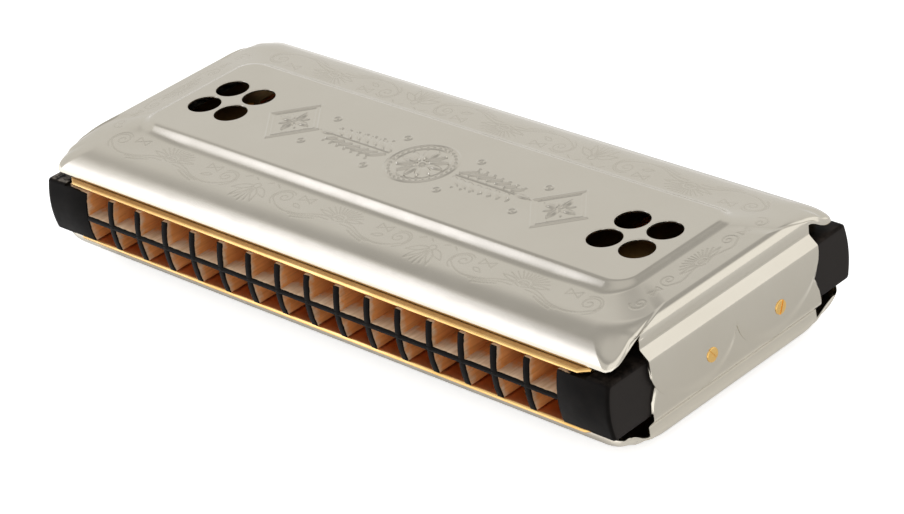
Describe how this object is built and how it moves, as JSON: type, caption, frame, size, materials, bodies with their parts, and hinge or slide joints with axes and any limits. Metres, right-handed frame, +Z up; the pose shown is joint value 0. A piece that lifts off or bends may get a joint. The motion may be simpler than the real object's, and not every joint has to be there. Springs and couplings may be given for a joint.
{
  "type": "tremolo harmonica",
  "caption": "Double-sided tremolo harmonica: wooden comb with mouth holes front and rear, brass reed plates with hinged reeds, pressed metal covers.",
  "frame": {"origin": "centre of the bottom cover's panel, on the surface it rests on", "axes": "+X along the mouth holes, from the low notes to the high notes of the front side; -Y out of the front mouth side; +Z up out of the top cover"},
  "size_m": [0.1508, 0.0658, 0.0265],
  "materials": {
    "comb_lacquer": "black lacquer",
    "plate_brass": "satin brass",
    "reed_brass": "scraped brass",
    "cover_nickel": "polished nickel plate",
    "screw_brass": "polished brass"
  },
  "bodies": {
    "harmonica_body": {"comb": "comb_lacquer", "front_top_reed_plate": "plate_brass", "front_bottom_reed_plate": "plate_brass", "rear_top_reed_plate": "plate_brass", "rear_bottom_reed_plate": "plate_brass", "top_cover": "cover_nickel", "bottom_cover": "cover_nickel", "cover_screw_right_front": "screw_brass", "cover_screw_right_rear": "screw_brass", "cover_screw_left_rear": "screw_brass", "cover_screw_left_front": "screw_brass", "front_top_plate_nail_left": "screw_brass", "front_top_plate_nail_right": "screw_brass", "front_top_plate_nail_middle": "screw_brass", "front_bottom_plate_nail_left": "screw_brass", "front_bottom_plate_nail_right": "screw_brass", "front_bottom_plate_nail_middle": "screw_brass", "rear_top_plate_nail_left": "screw_brass", "rear_top_plate_nail_right": "screw_brass", "rear_top_plate_nail_middle": "screw_brass", "rear_bottom_plate_nail_left": "screw_brass", "rear_bottom_plate_nail_right": "screw_brass", "rear_bottom_plate_nail_middle": "screw_brass"},
    "front_top_blow_reed_01": {"front_top_blow_reed_01": "reed_brass"},
    "front_top_blow_reed_03": {"front_top_blow_reed_03": "reed_brass"},
    "front_top_blow_reed_05": {"front_top_blow_reed_05": "reed_brass"},
    "front_top_blow_reed_07": {"front_top_blow_reed_07": "reed_brass"},
    "front_top_blow_reed_09": {"front_top_blow_reed_09": "reed_brass"},
    "front_top_blow_reed_11": {"front_top_blow_reed_11": "reed_brass"},
    "front_top_blow_reed_13": {"front_top_blow_reed_13": "reed_brass"},
    "front_top_blow_reed_15": {"front_top_blow_reed_15": "reed_brass"},
    "front_top_draw_reeds": {"front_top_draw_reeds": "reed_brass"},
    "front_bottom_blow_reed_01": {"front_bottom_blow_reed_01": "reed_brass"},
    "front_bottom_blow_reed_03": {"front_bottom_blow_reed_03": "reed_brass"},
    "front_bottom_blow_reed_05": {"front_bottom_blow_reed_05": "reed_brass"},
    "front_bottom_blow_reed_07": {"front_bottom_blow_reed_07": "reed_brass"},
    "front_bottom_blow_reed_09": {"front_bottom_blow_reed_09": "reed_brass"},
    "front_bottom_blow_reed_11": {"front_bottom_blow_reed_11": "reed_brass"},
    "front_bottom_blow_reed_13": {"front_bottom_blow_reed_13": "reed_brass"},
    "front_bottom_blow_reed_15": {"front_bottom_blow_reed_15": "reed_brass"},
    "front_bottom_draw_reeds": {"front_bottom_draw_reeds": "reed_brass"},
    "rear_top_blow_reed_01": {"rear_top_blow_reed_01": "reed_brass"},
    "rear_top_blow_reed_03": {"rear_top_blow_reed_03": "reed_brass"},
    "rear_top_blow_reed_05": {"rear_top_blow_reed_05": "reed_brass"},
    "rear_top_blow_reed_07": {"rear_top_blow_reed_07": "reed_brass"},
    "rear_top_blow_reed_09": {"rear_top_blow_reed_09": "reed_brass"},
    "rear_top_blow_reed_11": {"rear_top_blow_reed_11": "reed_brass"},
    "rear_top_blow_reed_13": {"rear_top_blow_reed_13": "reed_brass"},
    "rear_top_blow_reed_15": {"rear_top_blow_reed_15": "reed_brass"},
    "rear_top_draw_reeds": {"rear_top_draw_reeds": "reed_brass"},
    "rear_bottom_blow_reed_01": {"rear_bottom_blow_reed_01": "reed_brass"},
    "rear_bottom_blow_reed_03": {"rear_bottom_blow_reed_03": "reed_brass"},
    "rear_bottom_blow_reed_05": {"rear_bottom_blow_reed_05": "reed_brass"},
    "rear_bottom_blow_reed_07": {"rear_bottom_blow_reed_07": "reed_brass"},
    "rear_bottom_blow_reed_09": {"rear_bottom_blow_reed_09": "reed_brass"},
    "rear_bottom_blow_reed_11": {"rear_bottom_blow_reed_11": "reed_brass"},
    "rear_bottom_blow_reed_13": {"rear_bottom_blow_reed_13": "reed_brass"},
    "rear_bottom_blow_reed_15": {"rear_bottom_blow_reed_15": "reed_brass"},
    "rear_bottom_draw_reeds": {"rear_bottom_draw_reeds": "reed_brass"}
  },
  "joints": [
    {"name": "front_top_blow_reed_01_swing", "type": "hinge", "parent": "harmonica_body", "child": "front_top_blow_reed_01", "pos_m": [-0.0585, -0.0273, 0.0187], "axis": [1, 0, 0], "range_deg": [-3, 3], "stiffness_Nm_per_rad": 0.003},
    {"name": "front_top_blow_reed_03_swing", "type": "hinge", "parent": "harmonica_body", "child": "front_top_blow_reed_03", "pos_m": [-0.0429, -0.0273, 0.0187], "axis": [1, 0, 0], "range_deg": [-3, 3], "stiffness_Nm_per_rad": 0.003},
    {"name": "front_top_blow_reed_05_swing", "type": "hinge", "parent": "harmonica_body", "child": "front_top_blow_reed_05", "pos_m": [-0.0273, -0.0273, 0.0187], "axis": [1, 0, 0], "range_deg": [-3, 3], "stiffness_Nm_per_rad": 0.003},
    {"name": "front_top_blow_reed_07_swing", "type": "hinge", "parent": "harmonica_body", "child": "front_top_blow_reed_07", "pos_m": [-0.0117, -0.0273, 0.0187], "axis": [1, 0, 0], "range_deg": [-3, 3], "stiffness_Nm_per_rad": 0.003},
    {"name": "front_top_blow_reed_09_swing", "type": "hinge", "parent": "harmonica_body", "child": "front_top_blow_reed_09", "pos_m": [0.0039, -0.0273, 0.0187], "axis": [1, 0, 0], "range_deg": [-3, 3], "stiffness_Nm_per_rad": 0.003},
    {"name": "front_top_blow_reed_11_swing", "type": "hinge", "parent": "harmonica_body", "child": "front_top_blow_reed_11", "pos_m": [0.0195, -0.0273, 0.0187], "axis": [1, 0, 0], "range_deg": [-3, 3], "stiffness_Nm_per_rad": 0.003},
    {"name": "front_top_blow_reed_13_swing", "type": "hinge", "parent": "harmonica_body", "child": "front_top_blow_reed_13", "pos_m": [0.0351, -0.0273, 0.0187], "axis": [1, 0, 0], "range_deg": [-3, 3], "stiffness_Nm_per_rad": 0.003},
    {"name": "front_top_blow_reed_15_swing", "type": "hinge", "parent": "harmonica_body", "child": "front_top_blow_reed_15", "pos_m": [0.0507, -0.0273, 0.0187], "axis": [1, 0, 0], "range_deg": [-3, 3], "stiffness_Nm_per_rad": 0.003},
    {"name": "front_top_draw_reeds_swing", "type": "hinge", "parent": "harmonica_body", "child": "front_top_draw_reeds", "pos_m": [0, -0.0095, 0.01965], "axis": [1, 0, 0], "range_deg": [-3, 3], "stiffness_Nm_per_rad": 0.02},
    {"name": "front_bottom_blow_reed_01_swing", "type": "hinge", "parent": "harmonica_body", "child": "front_bottom_blow_reed_01", "pos_m": [-0.0585, -0.0273, 0.0078], "axis": [1, 0, 0], "range_deg": [-3, 3], "stiffness_Nm_per_rad": 0.003},
    {"name": "front_bottom_blow_reed_03_swing", "type": "hinge", "parent": "harmonica_body", "child": "front_bottom_blow_reed_03", "pos_m": [-0.0429, -0.0273, 0.0078], "axis": [1, 0, 0], "range_deg": [-3, 3], "stiffness_Nm_per_rad": 0.003},
    {"name": "front_bottom_blow_reed_05_swing", "type": "hinge", "parent": "harmonica_body", "child": "front_bottom_blow_reed_05", "pos_m": [-0.0273, -0.0273, 0.0078], "axis": [1, 0, 0], "range_deg": [-3, 3], "stiffness_Nm_per_rad": 0.003},
    {"name": "front_bottom_blow_reed_07_swing", "type": "hinge", "parent": "harmonica_body", "child": "front_bottom_blow_reed_07", "pos_m": [-0.0117, -0.0273, 0.0078], "axis": [1, 0, 0], "range_deg": [-3, 3], "stiffness_Nm_per_rad": 0.003},
    {"name": "front_bottom_blow_reed_09_swing", "type": "hinge", "parent": "harmonica_body", "child": "front_bottom_blow_reed_09", "pos_m": [0.0039, -0.0273, 0.0078], "axis": [1, 0, 0], "range_deg": [-3, 3], "stiffness_Nm_per_rad": 0.003},
    {"name": "front_bottom_blow_reed_11_swing", "type": "hinge", "parent": "harmonica_body", "child": "front_bottom_blow_reed_11", "pos_m": [0.0195, -0.0273, 0.0078], "axis": [1, 0, 0], "range_deg": [-3, 3], "stiffness_Nm_per_rad": 0.003},
    {"name": "front_bottom_blow_reed_13_swing", "type": "hinge", "parent": "harmonica_body", "child": "front_bottom_blow_reed_13", "pos_m": [0.0351, -0.0273, 0.0078], "axis": [1, 0, 0], "range_deg": [-3, 3], "stiffness_Nm_per_rad": 0.003},
    {"name": "front_bottom_blow_reed_15_swing", "type": "hinge", "parent": "harmonica_body", "child": "front_bottom_blow_reed_15", "pos_m": [0.0507, -0.0273, 0.0078], "axis": [1, 0, 0], "range_deg": [-3, 3], "stiffness_Nm_per_rad": 0.003},
    {"name": "front_bottom_draw_reeds_swing", "type": "hinge", "parent": "harmonica_body", "child": "front_bottom_draw_reeds", "pos_m": [0, -0.0095, 0.00685], "axis": [1, 0, 0], "range_deg": [-3, 3], "stiffness_Nm_per_rad": 0.02},
    {"name": "rear_top_blow_reed_01_swing", "type": "hinge", "parent": "harmonica_body", "child": "rear_top_blow_reed_01", "pos_m": [0.0585, 0.0273, 0.0187], "axis": [1, 0, 0], "range_deg": [-3, 3], "stiffness_Nm_per_rad": 0.003},
    {"name": "rear_top_blow_reed_03_swing", "type": "hinge", "parent": "harmonica_body", "child": "rear_top_blow_reed_03", "pos_m": [0.0429, 0.0273, 0.0187], "axis": [1, 0, 0], "range_deg": [-3, 3], "stiffness_Nm_per_rad": 0.003},
    {"name": "rear_top_blow_reed_05_swing", "type": "hinge", "parent": "harmonica_body", "child": "rear_top_blow_reed_05", "pos_m": [0.0273, 0.0273, 0.0187], "axis": [1, 0, 0], "range_deg": [-3, 3], "stiffness_Nm_per_rad": 0.003},
    {"name": "rear_top_blow_reed_07_swing", "type": "hinge", "parent": "harmonica_body", "child": "rear_top_blow_reed_07", "pos_m": [0.0117, 0.0273, 0.0187], "axis": [1, 0, 0], "range_deg": [-3, 3], "stiffness_Nm_per_rad": 0.003},
    {"name": "rear_top_blow_reed_09_swing", "type": "hinge", "parent": "harmonica_body", "child": "rear_top_blow_reed_09", "pos_m": [-0.0039, 0.0273, 0.0187], "axis": [1, 0, 0], "range_deg": [-3, 3], "stiffness_Nm_per_rad": 0.003},
    {"name": "rear_top_blow_reed_11_swing", "type": "hinge", "parent": "harmonica_body", "child": "rear_top_blow_reed_11", "pos_m": [-0.0195, 0.0273, 0.0187], "axis": [1, 0, 0], "range_deg": [-3, 3], "stiffness_Nm_per_rad": 0.003},
    {"name": "rear_top_blow_reed_13_swing", "type": "hinge", "parent": "harmonica_body", "child": "rear_top_blow_reed_13", "pos_m": [-0.0351, 0.0273, 0.0187], "axis": [1, 0, 0], "range_deg": [-3, 3], "stiffness_Nm_per_rad": 0.003},
    {"name": "rear_top_blow_reed_15_swing", "type": "hinge", "parent": "harmonica_body", "child": "rear_top_blow_reed_15", "pos_m": [-0.0507, 0.0273, 0.0187], "axis": [1, 0, 0], "range_deg": [-3, 3], "stiffness_Nm_per_rad": 0.003},
    {"name": "rear_top_draw_reeds_swing", "type": "hinge", "parent": "harmonica_body", "child": "rear_top_draw_reeds", "pos_m": [0, 0.0095, 0.01965], "axis": [1, 0, 0], "range_deg": [-3, 3], "stiffness_Nm_per_rad": 0.02},
    {"name": "rear_bottom_blow_reed_01_swing", "type": "hinge", "parent": "harmonica_body", "child": "rear_bottom_blow_reed_01", "pos_m": [0.0585, 0.0273, 0.0078], "axis": [1, 0, 0], "range_deg": [-3, 3], "stiffness_Nm_per_rad": 0.003},
    {"name": "rear_bottom_blow_reed_03_swing", "type": "hinge", "parent": "harmonica_body", "child": "rear_bottom_blow_reed_03", "pos_m": [0.0429, 0.0273, 0.0078], "axis": [1, 0, 0], "range_deg": [-3, 3], "stiffness_Nm_per_rad": 0.003},
    {"name": "rear_bottom_blow_reed_05_swing", "type": "hinge", "parent": "harmonica_body", "child": "rear_bottom_blow_reed_05", "pos_m": [0.0273, 0.0273, 0.0078], "axis": [1, 0, 0], "range_deg": [-3, 3], "stiffness_Nm_per_rad": 0.003},
    {"name": "rear_bottom_blow_reed_07_swing", "type": "hinge", "parent": "harmonica_body", "child": "rear_bottom_blow_reed_07", "pos_m": [0.0117, 0.0273, 0.0078], "axis": [1, 0, 0], "range_deg": [-3, 3], "stiffness_Nm_per_rad": 0.003},
    {"name": "rear_bottom_blow_reed_09_swing", "type": "hinge", "parent": "harmonica_body", "child": "rear_bottom_blow_reed_09", "pos_m": [-0.0039, 0.0273, 0.0078], "axis": [1, 0, 0], "range_deg": [-3, 3], "stiffness_Nm_per_rad": 0.003},
    {"name": "rear_bottom_blow_reed_11_swing", "type": "hinge", "parent": "harmonica_body", "child": "rear_bottom_blow_reed_11", "pos_m": [-0.0195, 0.0273, 0.0078], "axis": [1, 0, 0], "range_deg": [-3, 3], "stiffness_Nm_per_rad": 0.003},
    {"name": "rear_bottom_blow_reed_13_swing", "type": "hinge", "parent": "harmonica_body", "child": "rear_bottom_blow_reed_13", "pos_m": [-0.0351, 0.0273, 0.0078], "axis": [1, 0, 0], "range_deg": [-3, 3], "stiffness_Nm_per_rad": 0.003},
    {"name": "rear_bottom_blow_reed_15_swing", "type": "hinge", "parent": "harmonica_body", "child": "rear_bottom_blow_reed_15", "pos_m": [-0.0507, 0.0273, 0.0078], "axis": [1, 0, 0], "range_deg": [-3, 3], "stiffness_Nm_per_rad": 0.003},
    {"name": "rear_bottom_draw_reeds_swing", "type": "hinge", "parent": "harmonica_body", "child": "rear_bottom_draw_reeds", "pos_m": [0, 0.0095, 0.00685], "axis": [1, 0, 0], "range_deg": [-3, 3], "stiffness_Nm_per_rad": 0.02}
  ],
  "couplings": [
    {"joint": "front_bottom_blow_reed_01_swing", "follows": "front_top_blow_reed_01_swing", "ratio": -1},
    {"joint": "front_bottom_blow_reed_03_swing", "follows": "front_top_blow_reed_03_swing", "ratio": -1},
    {"joint": "front_bottom_blow_reed_05_swing", "follows": "front_top_blow_reed_05_swing", "ratio": -1},
    {"joint": "front_bottom_blow_reed_07_swing", "follows": "front_top_blow_reed_07_swing", "ratio": -1},
    {"joint": "front_bottom_blow_reed_09_swing", "follows": "front_top_blow_reed_09_swing", "ratio": -1},
    {"joint": "front_bottom_blow_reed_11_swing", "follows": "front_top_blow_reed_11_swing", "ratio": -1},
    {"joint": "front_bottom_blow_reed_13_swing", "follows": "front_top_blow_reed_13_swing", "ratio": -1},
    {"joint": "front_bottom_blow_reed_15_swing", "follows": "front_top_blow_reed_15_swing", "ratio": -1},
    {"joint": "front_bottom_draw_reeds_swing", "follows": "front_top_draw_reeds_swing", "ratio": -1},
    {"joint": "rear_bottom_blow_reed_01_swing", "follows": "rear_top_blow_reed_01_swing", "ratio": -1},
    {"joint": "rear_bottom_blow_reed_03_swing", "follows": "rear_top_blow_reed_03_swing", "ratio": -1},
    {"joint": "rear_bottom_blow_reed_05_swing", "follows": "rear_top_blow_reed_05_swing", "ratio": -1},
    {"joint": "rear_bottom_blow_reed_07_swing", "follows": "rear_top_blow_reed_07_swing", "ratio": -1},
    {"joint": "rear_bottom_blow_reed_09_swing", "follows": "rear_top_blow_reed_09_swing", "ratio": -1},
    {"joint": "rear_bottom_blow_reed_11_swing", "follows": "rear_top_blow_reed_11_swing", "ratio": -1},
    {"joint": "rear_bottom_blow_reed_13_swing", "follows": "rear_top_blow_reed_13_swing", "ratio": -1},
    {"joint": "rear_bottom_blow_reed_15_swing", "follows": "rear_top_blow_reed_15_swing", "ratio": -1},
    {"joint": "rear_bottom_draw_reeds_swing", "follows": "rear_top_draw_reeds_swing", "ratio": -1}
  ]
}
